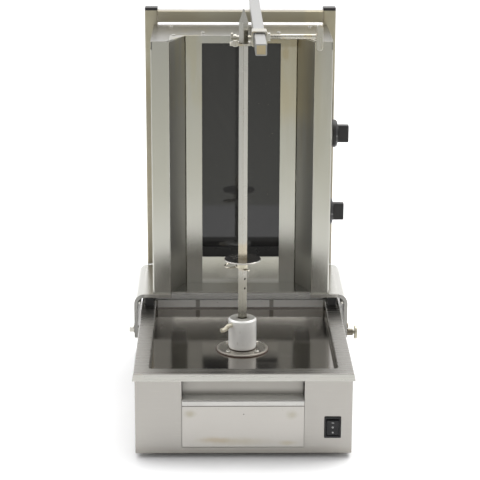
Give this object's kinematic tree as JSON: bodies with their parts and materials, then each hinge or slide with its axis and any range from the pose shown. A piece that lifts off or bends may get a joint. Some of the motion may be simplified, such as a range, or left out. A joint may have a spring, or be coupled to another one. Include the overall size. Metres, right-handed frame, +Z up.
{
  "type": "vertical kebab grill",
  "caption": "Electric vertical kebab grill: turning spit over a drip tray and grease drawer, with a sliding heater tower behind glass and a spit holder arm.",
  "frame": {"origin": "centre of the footprint at worktop level, on the plane of symmetry of the base", "axes": "+X to the right seen from the user, +Y away from the user, +Z up along the spit"},
  "size_m": [0.3938, 0.5281, 0.6813],
  "materials": {
    "stainless_sheet": "brushed, fine vertical grain",
    "deck_sheet": "brushed rim, polished tray floor",
    "drawer_sheet": "brushed, faint grease tint",
    "tower_sheet": "brushed, light heat tint near the top",
    "bracket_plate": "satin plate",
    "tube_steel": "satin tube, warm tint",
    "arm_steel": "satin tube",
    "holder_steel": "satin, weld tint",
    "spit_steel": "drawn bar",
    "disc_steel": "polished disc",
    "pin_steel": "bent rod, satin",
    "turned_steel": "turned",
    "plated_steel": "plated",
    "spring_wire": "bright wire",
    "hub_aluminium": "turned, satin",
    "painted_casting": "grey paint",
    "black_plastic": "matt",
    "black_gloss": "semi gloss",
    "knob_black": "matt",
    "cap_black": "matt",
    "white_plastic": "matt",
    "nylon_dark": "matt",
    "rubber_black": "matt",
    "gasket_red": "matt, red-brown",
    "reveal_black": "heat-blackened",
    "ceramic_glass": "dark glass ceramic, polished",
    "insulation_pan": "pressed pan with fibre board",
    "element_wire": "oxidised resistance ribbon"
  },
  "bodies": {
    "base": {"base_shell": "stainless_sheet", "base_floor": "stainless_sheet", "base_rear_panel": "stainless_sheet", "deck": "deck_sheet", "feet": "rubber_black", "drawer_runners": "plated_steel", "switch_housing": "black_plastic", "motor_bracket": "plated_steel", "gear_motor": "painted_casting", "shaft_bearing": "plated_steel", "flange_gasket": "gasket_red", "hub_flange": "turned_steel", "flange_screws": "plated_steel", "cable_gland": "black_plastic", "terminal_block": "white_plastic"},
    "drawer": {"drawer_front": "drawer_sheet", "drawer_tray": "drawer_sheet"},
    "rocker": {"switch_rocker": "black_gloss"},
    "hub": {"hub": "hub_aluminium", "drive_shaft": "turned_steel"},
    "locking_pin": {"locking_pin": "pin_steel"},
    "spit": {"spit": "spit_steel"},
    "disc": {"meat_disc": "disc_steel"},
    "clip": {"retaining_clip": "spring_wire"},
    "tower": {"left_bracket": "bracket_plate", "right_bracket": "bracket_plate", "slide_pads": "nylon_dark", "guide_rods": "plated_steel", "bracket_bolts": "plated_steel", "clamp_boss": "plated_steel", "tower_floor": "tower_sheet", "left_cheek": "tower_sheet", "right_cheek": "tower_sheet", "centre_frame": "tower_sheet", "glass_reveal": "reveal_black", "ceramic_glass": "ceramic_glass", "lower_heater_pan": "insulation_pan", "upper_heater_pan": "insulation_pan", "heating_elements": "element_wire", "heater_frame": "plated_steel", "back_cover": "stainless_sheet", "hood": "tower_sheet", "hood_rivets": "plated_steel", "upper_regulator": "white_plastic", "lower_regulator": "white_plastic", "left_post": "tube_steel", "right_post": "tube_steel", "tube_caps": "cap_black", "rear_rail": "tube_steel", "arm": "arm_steel"},
    "thumb_screw": {"thumb_screw": "plated_steel"},
    "upper_knob": {"upper_knob": "knob_black", "upper_spindle": "plated_steel"},
    "lower_knob": {"lower_knob": "knob_black", "lower_spindle": "plated_steel"},
    "holder": {"sleeve": "holder_steel", "guide_plate": "holder_steel", "clamp_nut": "plated_steel"},
    "latch": {"guide_latch": "holder_steel"},
    "clamp_screw": {"clamp_screw": "holder_steel"}
  },
  "joints": [
    {"name": "drawer_slide", "type": "slide", "parent": "base", "child": "drawer", "axis": [0, -1, 0], "range_m": [0, 0.085]},
    {"name": "switch_tilt", "type": "hinge", "parent": "base", "child": "rocker", "pos_m": [0.1389, -0.254, 0.0513], "axis": [1, 0, 0], "range_deg": [-8, 8]},
    {"name": "spit_spin", "type": "hinge", "parent": "base", "child": "hub", "pos_m": [0, -0.101, 0.155], "axis": [0, 0, 1], "continuous": true},
    {"name": "locking_pin_turn", "type": "hinge", "parent": "hub", "child": "locking_pin", "pos_m": [-0.01597, -0.11304, 0.1695], "axis": [-0.7986, -0.6018, 0], "range_deg": [-180, 180]},
    {"name": "spit_lift", "type": "slide", "parent": "hub", "child": "spit", "axis": [0, 0, 1], "range_m": [0, 0.04]},
    {"name": "disc_slide", "type": "slide", "parent": "spit", "child": "disc", "axis": [0, 0, 1], "range_m": [0, 0.24]},
    {"name": "clip_pull", "type": "slide", "parent": "spit", "child": "clip", "axis": [-0.7071, 0.7071, 0], "range_m": [0, 0.03]},
    {"name": "tower_slide", "type": "slide", "parent": "base", "child": "tower", "axis": [0, 1, 0], "range_m": [-0.08, 0.02]},
    {"name": "thumb_screw_turn", "type": "hinge", "parent": "tower", "child": "thumb_screw", "pos_m": [0.19, 0.062, 0.0965], "axis": [1, 0, 0], "range_deg": [0, 360]},
    {"name": "upper_knob_turn", "type": "hinge", "parent": "tower", "child": "upper_knob", "pos_m": [0.16, 0.146, 0.43], "axis": [-1, 0, 0], "range_deg": [0, 270]},
    {"name": "lower_knob_turn", "type": "hinge", "parent": "tower", "child": "lower_knob", "pos_m": [0.16, 0.146, 0.2915], "axis": [-1, 0, 0], "range_deg": [0, 270]},
    {"name": "holder_slide", "type": "slide", "parent": "tower", "child": "holder", "axis": [0, 1, 0], "range_m": [-0.025, 0.085]},
    {"name": "latch_turn", "type": "hinge", "parent": "holder", "child": "latch", "pos_m": [0, -0.0875, 0.6344], "axis": [-1, 0, 0], "range_deg": [0, 90]},
    {"name": "clamp_screw_turn", "type": "hinge", "parent": "holder", "child": "clamp_screw", "pos_m": [0.06, -0.104, 0.6386], "axis": [1, 0, 0], "range_deg": [0, 360]}
  ],
  "couplings": [
    {"joint": "holder_slide", "follows": "tower_slide", "ratio": -1}
  ]
}
